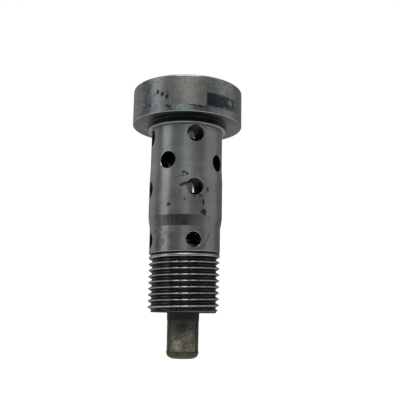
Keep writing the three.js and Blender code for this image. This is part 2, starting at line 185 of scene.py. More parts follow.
def make_piece(name, verts, faces, smooth=SMOOTH):
    """A mesh object in metres from points in millimetres."""
    mesh = bpy.data.meshes.new(name)
    mesh.from_pydata([tuple(MM * c for c in v) for v in verts], [], faces)
    mesh.validate()
    mesh.shade_smooth()
    mesh.set_sharp_from_angle(angle=smooth)
    piece = bpy.data.objects.new(name, mesh)
    bpy.context.scene.collection.objects.link(piece)
    return piece


def eased(points, radius=EASE, steps=EASE_STEPS):
    """The outline with each corner off the axis rounded. A point's third value is its own radius.
    A point beside each rounding keeps the shading of the long faces flat."""
    result = []
    for i, point in enumerate(points):
        here = Vector(point[:2])
        ease = point[2] if len(point) > 2 else radius
        before = Vector(points[i - 1][:2]) - here
        after = Vector(points[(i + 1) % len(points)][:2]) - here
        if here.x == 0 or ease == 0:
            result.append(tuple(here))
            continue
        reach = ease / math.tan(before.angle(after) / 2)
        reach_back = min(reach, 0.4 * before.length)
        reach_on = min(reach, 0.4 * after.length)
        start = here + before.normalized() * reach_back
        end = here + after.normalized() * reach_on
        if before.length > 4 * GUARD + reach_back:
            result.append(tuple(start + before.normalized() * GUARD))
        for k in range(steps + 1):
            t = k / steps
            result.append(tuple((1 - t) ** 2 * start + 2 * t * (1 - t) * here + t * t * end))
        if after.length > 4 * GUARD + reach_on:
            result.append(tuple(end + after.normalized() * GUARD))
    return result


def finer(outline, reach):
    """The outline with points added, so that none is further than reach from the next."""
    result = []
    for here, after in zip(outline, outline[1:]):
        count = max(1, math.ceil(math.dist(here, after) / reach))
        result += [tuple(np.add(here, np.subtract(after, here) * k / count)) for k in range(count)]
    return result + [outline[-1]]


def spin(outline, segments=SEGMENTS):
    """Turns a closed outline of (radius, z) round Z, up the outside first.
    A radius may hold one value per azimuth."""
    azimuths = np.radians(np.arange(segments) * 360.0 / segments)
    verts = []
    rings = []
    for radius, z in outline:
        if np.isscalar(radius) and radius == 0:
            rings.append([len(verts)])
            verts.append((0.0, 0.0, z))
            continue
        start = len(verts)
        radii = np.broadcast_to(radius, (segments,))
        verts.extend(zip(radii * np.sin(azimuths), -radii * np.cos(azimuths), np.full(segments, z)))
        rings.append(range(start, start + segments))
    faces = []
    for low, high in zip(rings, rings[1:] + rings[:1]):
        if len(low) == 1 and len(high) == 1:
            continue
        for i in range(segments):
            j = (i + 1) % segments
            corners = (low[i % len(low)], low[j % len(low)], high[j % len(high)], high[i % len(high)])
            faces.append(list(dict.fromkeys(corners)))
    return verts, faces


def sweep(rings):
    """A closed skin over rings of points, with flat ends."""
    sides = len(rings[0])
    verts = [tuple(point) for ring in rings for point in ring]
    faces = []
    for i in range(len(rings) - 1):
        for j in range(sides):
            a = i * sides + j
            b = i * sides + (j + 1) % sides
            faces.append([a, b, b + sides, a + sides])
    last = (len(rings) - 1) * sides
    faces.append(list(range(sides - 1, -1, -1)))
    faces.append([last + j for j in range(sides)])
    return verts, faces


def join(parts):
    """One mesh from several (verts, faces)."""
    verts = []
    faces = []
    for part_verts, part_faces in parts:
        start = len(verts)
        verts.extend(part_verts)
        faces.extend([start + v for v in face] for face in part_faces)
    return verts, faces


def block(width, near, far, low, high, azimuth):
    """A box that runs from one radius to another, away from the axis."""
    half = width / 2
    ring = [(-half, -far), (half, -far), (half, -near), (-half, -near)]
    spun = turn(azimuth)
    return sweep([[spun @ Vector((x, y, z)) for x, y in ring] for z in (low, high)])


def drill(radius, near, far, z, azimuth):
    """A round rod that points away from the axis."""
    spun = turn(azimuth)
    circle = [(radius * math.cos(a), z + radius * math.sin(a)) for a in angles(SIDES["window"])]
    return sweep([[spun @ Vector((x, -y, height)) for x, height in circle] for y in (near, far)])


def upright(radius, low, high, reach, azimuth):
    """A round rod along Z, off the axis."""
    centre = turn(azimuth) @ Vector((0, -reach, 0))
    ring = [(centre.x + radius * math.cos(a), centre.y + radius * math.sin(a)) for a in angles(SIDES["rod"])]
    return sweep([[(x, y, z) for x, y in ring] for z in (low, high)])


def combine(piece, parts, operation="DIFFERENCE"):
    """Cuts the parts out of a piece, or joins them to it."""
    tool = make_piece("tool", *join(parts))
    change = piece.modifiers.new("change", "BOOLEAN")
    change.operation = operation
    change.object = tool
    change.solver = "MANIFOLD"
    bpy.context.view_layer.update()
    evaluated = piece.evaluated_get(bpy.context.evaluated_depsgraph_get())
    made = bpy.data.meshes.new_from_object(evaluated)
    piece.modifiers.clear()
    piece.data = made
    made.name = piece.name
    made.shade_smooth()
    made.set_sharp_from_angle(angle=SMOOTH)
    bpy.data.objects.remove(tool)
    return piece


# ---- the body -----------------------------------------------------------------------------------

def thread_radius(azimuths, z):
    """The body's outer radius in the threaded stretch, for an array of azimuths at one height."""
    pitch = THREAD["pitch"]
    nearest = np.round((z - THREAD["top"]) / pitch - azimuths / 360.0)
    cut = np.zeros_like(azimuths)
    for turns in (nearest - 1, nearest, nearest + 1):
        unrolled = azimuths + 360.0 * turns
        fade = np.clip((THREAD["fade"] - unrolled) / 360.0, 0.0, 1.0)
        shallow = RUN_OUT["share"] * np.clip((RUN_OUT["end"] - unrolled) / RUN_OUT["length"], 0.0, 1.0)
        depth = THREAD["depth"] * np.maximum(fade, shallow)
        away = np.abs(z - THREAD["top"] - pitch * unrolled / 360.0)
        away = np.sqrt(away ** 2 + THREAD["soft"] ** 2)
        bare = depth - np.maximum(0.0, away - THREAD["root_half"]) / THREAD["flank"]
        rounded = (bare + np.sqrt(bare ** 2 + THREAD["soft"] ** 2)) / 2
        cut = np.maximum(cut, np.where(depth > 0, np.minimum(rounded, depth), 0.0))
    above_end = max(0.0, z - THREAD["end"])
    cone = THREAD["chamfer"] * max(0.0, 1 - above_end / THREAD["chamfer_height"])
    return SHANK["radius"] - np.maximum(cut, cone)


def hexagon_radius(azimuths):
    """The drive recess's radius, for an array of azimuths."""
    step = 360.0 / DRIVE["sides"]
    return DRIVE["across_flats"] / 2 / np.cos(np.radians(azimuths % step - step / 2))


def body_outline():
    """The closed outline of the body: up the outside, over the head and down the bores."""
    azimuths = np.arange(SEGMENTS) * 360.0 / SEGMENTS
    end = THREAD["end"]
    rows = [(TAIL_BORE["mouth"] + EASE, end), ((TAIL_BORE["mouth"] + SHANK["radius"]) / 2, end)]
    count = round((THREAD["rows_from"] - end) / THREAD["row"])
    for i in range(count + 1):
        z = end + i * (THREAD["rows_from"] - end) / count
        rows.append((thread_radius(azimuths, z), z))
    outside = eased([
        (SHANK["radius"], THREAD["rows_from"] + BEYOND, 0),
        (SHANK["radius"], SHANK["top"], 0.5),
        (BARREL["radius"], BARREL["cone"], 0.35),
        (BARREL["radius"], BARREL["from"], 3.0),
        (BARREL["neck"], BARREL["neck_end"], 3.0),
        (BARREL["neck"], COLLAR["low"], 0.2),
        (COLLAR["radius"], COLLAR["low"], 0.3),
        (COLLAR["radius"], 0, 0.12),
        (HEAD["radius"], 0, HEAD["low_ease"]),
        (HEAD["radius"], HEAD["top"], HEAD["top_ease"]),
        (HEAD["radius"] - 2, HEAD["top"], 0),
    ])
    rows += finer(outside[1:-1], ROW_STEP)
    flat = DRIVE["across_flats"] / 2
    corner = flat / math.cos(math.pi / DRIVE["sides"])
    hexagon = hexagon_radius(azimuths)
    lead_in = [corner + EASE, *np.linspace(corner, flat, LEAD_IN_ROWS)]
    rows += [(np.maximum(hexagon, r), HEAD["top"] - max(0.0, corner - r)) for r in lead_in]
    rows += [(hexagon, FRONT_BORE["top"])]
    bores = eased([
        (FRONT_BORE["radius"] + BEYOND, FRONT_BORE["top"], 0),
        (FRONT_BORE["radius"], FRONT_BORE["top"], 0.08),
        (FRONT_BORE["radius"], RING_GROOVE["high"], 0.05),
        (RING_GROOVE["radius"], RING_GROOVE["high"], 0.05),
        (RING_GROOVE["radius"], RING_GROOVE["low"], 0.05),
        (FRONT_BORE["radius"], RING_GROOVE["low"], 0.05),
        (FRONT_BORE["radius"], BORE["shoulder"], 0.03),
        (BORE["radius"], BORE["shoulder"], 0.03),
        (BORE["radius"], BORE["floor"], 0.08),
        (TAIL_BORE["radius"], BORE["floor"], 0.1),
        (TAIL_BORE["radius"], TAIL_BORE["mouth_top"], 0.05),
        (TAIL_BORE["mouth"], TAIL_BORE["mouth_top"], 0.05),
        (TAIL_BORE["mouth"], end, 0),
    ])
    rows += bores[1:-1]
    rows += [(TAIL_BORE["mouth"], end + EASE)]
    return rows


def port_cutter(port, azimuth):
    """A drill whose mouth flares out a little, all along the round wall that it leaves."""
    spun = turn(azimuth)
    radius = port["radius"]
    circle = angles(SIDES["port"])

    def ring(reach, lift):
        points = []
        for a in circle:
            x = reach * math.cos(a)
            wall = math.sqrt(port["wall"] ** 2 - x * x)
            points.append(spun @ Vector((x, -(wall + lift), port["z"] + reach * math.sin(a))))
        return points

    near = BORE["radius"] - BEYOND
    inner = [spun @ Vector((radius * math.cos(a), -near, port["z"] + radius * math.sin(a))) for a in circle]
    edge = PORT_EDGE
    rings = [inner, ring(radius, -edge), ring(radius + edge, 0), ring(radius + 2 * edge, edge),
             ring(radius + 2 * edge, 3 * BEYOND)]
    return sweep(rings)


def valve_body():
    piece = make_piece("body_shell", *spin(body_outline()))
    cutters = [port_cutter(port, azimuth)
               for port in PORTS.values() for azimuth in around(PORT_COUNT, port["azimuth"])]
    return combine(piece, cutters)


# ---- sleeve, spool and what holds them ------------------------------------------------------------

def port_sleeve():
    radius, low, high = span("port_sleeve")
    inner = SLEEVE["inner"]
    piece = make_piece("ported_sleeve", *spin(eased([
        (0, low), (radius, low, 0.3), (radius, high, 0.1), (inner, high, 0.1),
        (inner, SLEEVE["floor_top"], 0.25), (0, SLEEVE["floor_top"]),
    ]), INNER_SEGMENTS))
    near = inner - BEYOND
    far = radius + BEYOND
    combine(piece, [drill(port["radius"] + WINDOW_MARGIN, near, far, port["z"], azimuth)
                    for port in PORTS.values() for azimuth in around(PORT_COUNT, port["azimuth"])])
    for from_radius, top in ((FEED_GROOVE["floor"], FEED_GROOVE["top"]),
                             (FEED_GROOVE["slot_inner"], FEED_GROOVE["slot_top"])):
        combine(piece, [block(FEED_GROOVE["width"], from_radius, far, low - BEYOND, top, azimuth)
                        for azimuth in around(PORT_COUNT, PORTS["supply"]["azimuth"])])
    return piece


def control_spool():
    """Two polished lands and a guide on a neck, then a stem with a collar and a socket for the button."""
    radius, neck, stem = SPOOL["radius"], SPOOL["neck"], SPOOL["stem"]
    bore, bore_top = SPOOL["spring_bore"]
    socket, floor = SPOOL["button_bore"]
    collar_low, collar_high = SPOOL["collar"]
    outline = [(0, bore_top), (bore, bore_top, 0.3)]
    for (low, high), start, end in ((SPOOL["guide"], bore, neck), (SPOOL["rear"], neck, neck),
                                    (SPOOL["front"], neck, stem)):
        outline += [(start, low, 0.3), (radius, low, 0.05), (radius, high, 0.05), (end, high, 0.3)]
    outline += [(stem, collar_low, 0.1), (SPOOL["collar_radius"], collar_low),
                (SPOOL["collar_radius"], collar_high), (stem, collar_high, 0.1), (stem, SPOOL["top"]),
                (socket, SPOOL["top"], 0.05), (socket, floor, 0.1), (0, floor)]
    piece = make_piece("polished_spool", *spin(eased(outline)))
    flats = []
    for (low, high), flat in ((SPOOL["guide"], SPOOL["guide_flat"]), (SPOOL["collar"], SPOOL["collar_flat"])):
        for azimuth in around(SPOOL["flats"]):
            flats.append(block(2 * radius, flat, radius + BEYOND, low - BEYOND, high + BEYOND, azimuth))
    return combine(piece, flats)


def spool_button():
    _, low, high = span("spool_button")
    dome = BUTTON["dome"]
    return make_piece("push_button", *spin(eased([
        (0, low), (BUTTON["shank"], low), (BUTTON["shank"], BUTTON["shoulder"], 0.05),
        (BUTTON["radius"], BUTTON["shoulder"], 0.1), (BUTTON["radius"], high - dome, 0.25),
        (BUTTON["radius"] - dome, high, 0.25), (0, high),
    ])))


def washer(name, node, hole, ease=0.06):
    radius, low, high = span(node)
    outline = eased([(hole, low), (radius, low), (radius, high), (hole, high)], ease)
    return make_piece(name, *spin(outline))


def stop_washer():
    _, low, high = span("stop_washer")
    piece = washer("notched_washer", "stop_washer", WASHER["hole"])
    return combine(piece, [block(WASHER["notch"], 0, WASHER["reach"], low - BEYOND, high + BEYOND, azimuth)
                           for azimuth in around(PORT_COUNT)])


def retaining_ring():
    """A snap ring with an eye at each end of its gap."""
    radius, low, high = span("retaining_ring")
    piece = washer("snap_ring", "retaining_ring", SNAP_RING["inner"], 0.12)
    combine(piece, [block(SNAP_RING["gap"], 0, radius + BEYOND, low - BEYOND, high + BEYOND, 0)])
    middle = (radius + SNAP_RING["inner"]) / 2
    swing = math.degrees(math.asin((SNAP_RING["gap"] / 2 + 2 * SNAP_RING["eye"]) / middle))
    return combine(piece, [upright(SNAP_RING["eye"], low - BEYOND, high + BEYOND, middle, azimuth)
                           for azimuth in (-swing, swing)])


def coil_spring(name, spring, low, high):
    """A coil whose end turns lie flat and close together."""
    wire = spring["wire"]
    lowest = low + wire
    highest = high - wire
    dead, turns = spring["dead"], spring["turns"]
    tight = 2 * wire + COIL_GAP
    loose = (highest - lowest - 2 * dead * tight) / (turns - 2 * dead)
    rings = []
    count = round(turns * WIRE_STEPS)
    for i in range(count + 1):
        at = turns * i / count
        z = lowest + min(at, dead) * tight
        z += max(0.0, min(at, turns - dead) - dead) * loose
        z += max(0.0, at - (turns - dead)) * tight
        spun = turn(360.0 * at)
        rings.append([spun @ Vector((0, -(spring["radius"] + wire * math.cos(a)), z - wire * math.sin(a)))
                      for a in angles(WIRE_SIDES)])
    return make_piece(name, *sweep(rings))


# ---- check valve ----------------------------------------------------------------------------------

def check_valve_cage():
    """A drawn cup with round holes in its end plate."""
    radius, low, high = span("check_valve_cage")
    inner = CAGE["inner"]
    plate_low = high - CAGE["plate"]
    piece = make_piece("drawn_cage", *spin(eased([
        (0, plate_low), (inner, plate_low, 0.3), (inner, low, 0.1), (radius, low, 0.1),
        (radius, high, 0.5), (0, high),
    ])))
    return combine(piece, [upright(CAGE["hole"], plate_low - BEYOND, high + BEYOND, CAGE["reach"], azimuth)
                           for azimuth in around(PORT_COUNT, PORTS["supply"]["azimuth"])])


def check_valve_seat():
    radius, low, high = span("check_valve_seat")
    hole, cone = CHECK_SEAT["hole"], CHECK_SEAT["cone"]
    edge = high - (cone - hole)
    return make_piece("cone_seat", *spin(eased([
        (hole, low, 0.2), (radius, low, 0.2), (radius, high, 0.1), (cone, high, 0.05), (hole, edge, 0.03),
    ])))


def check_ball():
    radius, low, high = span("check_ball")
    middle = (low + high) / 2
    rise = np.radians(np.linspace(-90, 90, BALL_ROWS))
    outline = [(radius * math.cos(a), middle + radius * math.sin(a)) for a in rise[1:-1]]
    return make_piece("bearing_ball", *spin([(0, low), *outline, (0, high)], RING_SEGMENTS))


# ---- strainer -------------------------------------------------------------------------------------

def strainer_frame():
    """The moulded basket: a flange in the bore, a neck, ribs and an end cap."""
    _, low, high = span("strainer_frame")
    inner, waist, flange = STRAINER["inner"], STRAINER["waist"], STRAINER["flange"]
    groove = STRAINER["seal_groove"]
    groove_low = STRAINER["seal_z"] - STRAINER["seal_half"]
    groove_high = STRAINER["seal_z"] + STRAINER["seal_half"]
    neck = spin(eased([
        (inner, STRAINER["neck_low"], 0.08), (waist, STRAINER["neck_low"], 0.1),
        (STRAINER["radius"], STRAINER["flange_low"], 0.1), (flange, STRAINER["flange_low"]),
        (flange, groove_low, 0.05), (groove, groove_low, 0.05), (groove, groove_high, 0.05),
        (flange, groove_high, 0.05), (flange, high), (inner, high),
    ]), INNER_SEGMENTS)
    cap = spin(eased([
        (0, low), (STRAINER["radius"] - 1.2 * STRAINER["nose"], low, 0.4),
        (STRAINER["radius"] - 0.35 * STRAINER["nose"], low + 0.45 * STRAINER["nose"], 0.5),
        (STRAINER["radius"], low + 1.4 * STRAINER["nose"], 0.5), (waist, STRAINER["cap_top"], 0.1),
        (inner, STRAINER["cap_top"], 0.08), (inner, STRAINER["cap_inner"], 0.2), (0, STRAINER["cap_inner"]),
    ], steps=6), INNER_SEGMENTS)
    piece = make_piece("strainer_basket", *join([neck, cap]))
    bars = [rib(azimuth, inner + RIB["inset"], waist - RIB["inset"])
            for azimuth in around(STRAINER["ribs"], STRAINER["rib_azimuth"])]
    return combine(piece, bars, "UNION")


def rib(azimuth, near, far):
    """A bar of the basket, curved with its wall and rounded on its outer edges."""
    half = math.degrees(STRAINER["rib_width"] / 2 / far)
    steps = np.linspace(-half, half, RIB["points"])
    shape = [(far - RIB["rounding"] * abs(step / half) ** 6, step) for step in steps]
    shape += [(near, step) for step in steps[::-1]]
    rings = []
    for z in (STRAINER["cap_top"] - BEYOND, STRAINER["neck_low"] + BEYOND):
        rings.append([turn(azimuth + step) @ Vector((0, -radius, z)) for radius, step in shape])
    return sweep(rings)


def strainer_screen(number):
    """A panel of woven wire between two ribs, its wires at 45 degrees."""
    _, low, high = span(f"strainer_screen_{number}")
    step = 360.0 / STRAINER["ribs"]
    low_corner, high_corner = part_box(f"strainer_screen_{number}")
    facing = (low_corner + high_corner).xy.normalized()
    middles = around(STRAINER["ribs"], STRAINER["rib_azimuth"] + step / 2)
    middle = max(middles, key=lambda azimuth: facing.dot((turn(azimuth) @ Vector((0, -1, 0))).xy))
    radius = WEAVE["radius"]
    half = radius * math.radians(step) / 2 - STRAINER["rib_width"] / 2 + WEAVE["margin"]
    rise = (high - low) / 2 + WEAVE["margin"]
    centre = (high + low) / 2
    gap = WEAVE["step"]
    reach = half + rise
    count = int(reach / math.sqrt(2) / gap)
    wires = []
    for lean in (1, -1):
        for row in range(-count, count + 1):
            wires += woven_wire(lean, row, half, rise, middle, centre)
    return make_piece(f"woven_screen_{number}", *join(wires), smooth=SMOOTH_WIRE)


def woven_wire(lean, row, half, rise, middle, centre):
    """One wire of the weave, as a list of at most one skin. It passes over and under in turn."""
    gap = WEAVE["step"]
    points = []
    samples = WEAVE["samples"]
    count = int((half + rise) / gap * samples)
    for i in range(-count, count + 1):
        along = i * gap / samples
        s = (along - lean * row * gap) / math.sqrt(2)
        z = lean * (along + lean * row * gap) / math.sqrt(2)
        if abs(s) > half or abs(z) > rise:
            continue
        lift = lean * WEAVE["lift"] * math.cos(math.pi * (along / gap + row))
        points.append((s, z, lift))
    if len(points) < 3:
        return []
    rings = []
    for k, (s, z, lift) in enumerate(points):
        before = points[max(0, k - 1)]
        after = points[min(len(points) - 1, k + 1)]
        forward = (Vector(after) - Vector(before)).normalized()
        side = forward.cross(Vector((0, 0, 1))).normalized()
        up = forward.cross(side)
        ring = []
        for a in angles(WEAVE["sides"]):
            offset = (side * math.cos(a) + up * math.sin(a)) * WEAVE["wire"]
            azimuth = middle + math.degrees((s + offset.x) / WEAVE["radius"])
            reach = WEAVE["radius"] + lift + offset.z
            ring.append(turn(azimuth) @ Vector((0, -reach, centre + z + offset.y)))
        rings.append(ring)
    return [sweep(rings)]


def seal_ring():
    section, z = SEAL["section"], STRAINER["seal_z"]
    outline = [(SEAL["centre"] + section * math.cos(a), z + section * math.sin(a))
               for a in angles(SIDES["seal"])]
    return make_piece("o_ring", *spin(outline, RING_SEGMENTS))


def lock_ring():
    radius, low, high = span("strainer_lock_ring")
    piece = make_piece("toothed_ring", *spin(eased([
        (LOCK_RING["inner"], low), (radius, low), (radius, high), (LOCK_RING["inner"], high)])))
    return combine(piece, [block(LOCK_RING["width"], LOCK_RING["from"], radius + BEYOND,
                                 low - BEYOND, high + BEYOND, azimuth)
                           for azimuth in around(LOCK_RING["notches"])])


# ---- looks ----------------------------------------------------------------------------------------

MIX_FIRST, MIX_SECOND, MIX_RESULT = 6, 7, 2


class Look:
    """A material under construction. Its textures use the piece's own coordinates, in millimetres."""

    def __init__(self, name):
        self.material = bpy.data.materials.new(name)
        self.material.use_nodes = True
        self.tree = self.material.node_tree
        self.surface = self.tree.nodes["Principled BSDF"]
        coordinates = self.tree.nodes.new("ShaderNodeTexCoord").outputs["Object"]
        self.point = self.vector("SCALE", coordinates, scale=1 / MM)
        split = self.tree.nodes.new("ShaderNodeSeparateXYZ")
        self.tree.links.new(self.point, split.inputs[0])
        x, y, self.z = split.outputs
        self.radius = self.math("SQRT", self.math("ADD", self.times(x, x), self.times(y, y)))
        turned = self.math("ARCTAN2", x, self.times(y, -1.0))
        self.azimuth = self.times(turned, 180 / math.pi)
        reach = self.math("MAXIMUM", self.radius, 0.01)
        self.side = (self.math("DIVIDE", x, reach), self.math("DIVIDE", y, reach))
        self.colour = (1.0, 1.0, 1.0)

    def put(self, socket, value):
        if isinstance(value, bpy.types.NodeSocket):
            self.tree.links.new(value, socket)
        else:
            socket.default_value = value

    def math(self, operation, *values):
        node = self.tree.nodes.new("ShaderNodeMath")
        node.operation = operation
        for socket, value in zip(node.inputs, values):
            self.put(socket, value)
        return node.outputs[0]

    def vector(self, operation, value, scale=1.0):
        node = self.tree.nodes.new("ShaderNodeVectorMath")
        node.operation = operation
        self.put(node.inputs[0], value)
        node.inputs["Scale"].default_value = scale
        return node.outputs["Vector"]

    def noise(self, scale, detail=3.0, rough=0.55, seed=0.0, point=None):
        """Noise from 0 to 1 with about that many features per millimetre."""
        node = self.tree.nodes.new("ShaderNodeTexNoise")
        node.noise_dimensions = "4D"
        self.put(node.inputs["Vector"], self.point if point is None else point)
        node.inputs["W"].default_value = seed
        node.inputs["Scale"].default_value = scale
        node.inputs["Detail"].default_value = detail
        node.inputs["Roughness"].default_value = rough
        return node.outputs["Fac"]

    def turned(self, fine, slow=1.2, seed=0.0):
        """Noise drawn out round the axis, as a turning tool leaves it."""
        node = self.tree.nodes.new("ShaderNodeCombineXYZ")
        self.put(node.inputs[0], self.times(self.side[0], slow))
        self.put(node.inputs[1], self.times(self.side[1], slow))
        self.put(node.inputs[2], self.times(self.math("ADD", self.z, self.radius), fine))
        return self.noise(1.0, 2.0, 0.6, seed, node.outputs[0])

    def step(self, value, low, high):
        """0 below low and 1 above high, with a smooth change between. Low may be the larger."""
        node = self.tree.nodes.new("ShaderNodeMapRange")
        node.interpolation_type = "SMOOTHSTEP"
        flip = low > high
        self.put(node.inputs["Value"], value)
        node.inputs["From Min"].default_value = min(low, high)
        node.inputs["From Max"].default_value = max(low, high)
        node.inputs["To Min"].default_value = 1.0 if flip else 0.0
        node.inputs["To Max"].default_value = 0.0 if flip else 1.0
        return node.outputs["Result"]

    def times(self, *values):
        result = values[0]
        for value in values[1:]:
            result = self.math("MULTIPLY", result, value)
        return result

    def band(self, value, low, high, soft):
        """1 between low and high and 0 outside, softened at both."""
        rise = self.step(value, low - soft, low + soft)
        return self.times(rise, self.step(value, high + soft, high - soft))

    def zone(self, name):
        azimuths, heights = ZONES[name]
        return self.times(self.band(self.azimuth, *azimuths), self.band(self.z, *heights))

    def cloud(self, scale, detail, rough, seed, low, high):
        """Noise turned into patches: 0 where it is below low and 1 where it is above high."""
        return self.step(self.noise(scale, detail, rough, seed), low, high)

    def lerp(self, low, high, factor):
        return self.math("MULTIPLY_ADD", factor, high - low, low)

    def mix(self, factor, first, second, blend="MIX"):
        """The first colour changed to the second, as far as the factor goes."""
        node = self.tree.nodes.new("ShaderNodeMix")
        node.data_type = "RGBA"
        node.blend_type = blend
        self.put(node.inputs["Factor"], factor)
        self.put(node.inputs[MIX_FIRST], rgba(first))
        self.put(node.inputs[MIX_SECOND], rgba(second))
        return node.outputs[MIX_RESULT]

    def tint(self, factor, shade):
        """Multiplies the look's colour by a shade, or by a plain number, as far as the factor goes."""
        self.colour = self.mix(factor, self.colour, shade, "MULTIPLY")

    def streaks(self, fine, seed=0.0):
        """Noise drawn out along the axis."""
        node = self.tree.nodes.new("ShaderNodeCombineXYZ")
        self.put(node.inputs[0], self.times(self.side[0], fine))
        self.put(node.inputs[1], self.times(self.side[1], fine))
        self.put(node.inputs[2], self.times(self.z, 0.12))
        return self.noise(1.0, 3.0, 0.6, seed, node.outputs[0])

    def blot(self, azimuth, z, wide, high, lean, radius=BARREL["radius"]):
        """A ragged blot on a round wall: its half width and half height, and how far it leans, in degrees."""
        wall = radius * math.pi / 180
        across = self.times(self.math("SUBTRACT", self.azimuth, azimuth), wall)
        along = self.math("SUBTRACT", self.z, z)
        cosine = math.cos(math.radians(lean))
        sine = math.sin(math.radians(lean))
        u = self.math("ADD", self.times(across, cosine / wide), self.times(along, sine / wide))
        v = self.math("SUBTRACT", self.times(along, cosine / high), self.times(across, sine / high))
        away = self.math("SQRT", self.math("ADD", self.times(u, u), self.times(v, v)))
        ragged = self.math("MULTIPLY_ADD", self.noise(1.8, 3.0, 0.7, azimuth + z), 1.6, away)
        return self.step(ragged, 1.9, 1.4)

    def bump(self, height, depth):
        """Raises the surface by the height, from 0 to 1, times the depth in millimetres."""
        node = self.tree.nodes.new("ShaderNodeBump")
        node.inputs["Strength"].default_value = 1.0
        node.inputs["Distance"].default_value = depth * MM
        self.put(node.inputs["Height"], height)
        self.put(self.surface.inputs["Normal"], node.outputs["Normal"])

    def finish(self, roughness, metallic=1.0):
        self.put(self.surface.inputs["Base Color"], rgba(self.colour))
        self.put(self.surface.inputs["Roughness"], roughness)
        self.put(self.surface.inputs["Metallic"], metallic)
        return self.material


def rgba(colour):
    """A colour for a socket, from three values or one grey. A node's output passes through."""
    if isinstance(colour, float):
        return (colour, colour, colour, 1.0)
    return (*colour, 1.0) if isinstance(colour, tuple) else colour


def body_steel():
    """Turned steel with a grey coat, stained by oil round the ports, cone, head and thread. Painted shade
    darkens the thread's grooves, its end face, the bores and the port walls, and a painted highlight lightens
    the first crest.
    """
    look = Look("body_steel")
    blotches = look.noise(0.35, 4.0, 0.6, 1.0)
    look.colour = look.mix(look.step(blotches, 0.3, 0.7), (0.45, 0.465, 0.46), (0.57, 0.58, 0.57))
    cool = look.times(look.step(look.z, -22.0, -6.0), look.band(look.azimuth, -40.0, 10.0, 14.0))
    look.tint(cool, (0.90, 1.0, 0.985))
    lines = look.turned(9.0, seed=2.0)
    look.tint(look.step(lines, 0.55, 0.75), 0.9)
    streaks = look.streaks(9.0, seed=17.0)
    look.tint(look.step(streaks, 0.5, 0.7), (0.88, 0.89, 0.88))
    grain = look.noise(5.0, 2.0, 0.6, 3.0)
    look.tint(look.step(grain, 0.6, 0.75), (0.82, 0.81, 0.79))
    head_marks(look)
    port_marks(look)
    soiled = cone_band(look)

    smear = look.times(look.zone("smear"), look.cloud(0.8, 4.0, 0.65, 6.0, 0.46, 0.58))
    look.tint(smear, (0.62, 0.60, 0.57))
    scratch = look.math("SUBTRACT", look.azimuth, look.times(look.z, 3.2))
    scratch = look.times(look.band(scratch, 133.0, 137.0, 1.5), look.band(look.z, -32.0, -28.5, 0.6))
    look.tint(scratch, 0.66)

    threaded = look.step(look.z, -32.9, -33.2)
    # Painted shade in the thread's grooves, partly oil: darker below the crests.
    groove = look.times(threaded, look.step(look.radius, 8.88, 8.6))
    look.tint(groove, (0.30, 0.29, 0.28))
    # Painted shade: a near-black line in the fading run-out groove at the top of the thread.
    runout_groove_shade = look.times(look.band(look.z, -34.35, -32.8, 0.03), look.step(look.radius, 8.91, 8.8))
    look.tint(runout_groove_shade, 0.12)
    # Painted highlight: the first full crest below the run-out groove made lighter.
    first = look.times(threaded, look.band(look.z, -34.75, -33.7, 0.12), look.step(look.radius, 8.7, 8.85))
    look.tint(first, 1.35)
    # Painted shade: the deepest parts of the thread's grooves made darker.
    deep_groove_shade = look.times(threaded, look.step(look.radius, 8.5, 8.15))
    look.tint(deep_groove_shade, (0.7, 0.68, 0.68))
    # Painted shade: the thread's end face made much darker.
    end_face_shade = look.step(look.z, THREAD["end"] + 0.4, THREAD["end"] + 0.2)
    look.tint(end_face_shade, 0.2)
    # Painted shade in the recesses: the port walls and the bores made much darker.
    bore = look.times(look.step(look.radius, 8.9, 8.75), look.step(look.z, -32.2, -31.8),
                      look.step(look.z, 2.6, 2.4))
    bore = look.math("MAXIMUM", bore, look.step(look.radius, 7.9, 7.7))
    look.tint(bore, 0.2)

    rough = look.math("ADD", look.lerp(0.23, 0.31, blotches), look.times(soiled, 0.12))
    raised = look.math("ADD", look.times(lines, 0.6), look.times(grain, 0.4))
    look.bump(look.times(raised, look.step(look.z, -33.0, -32.6)), 0.006)
    return look.finish(rough)


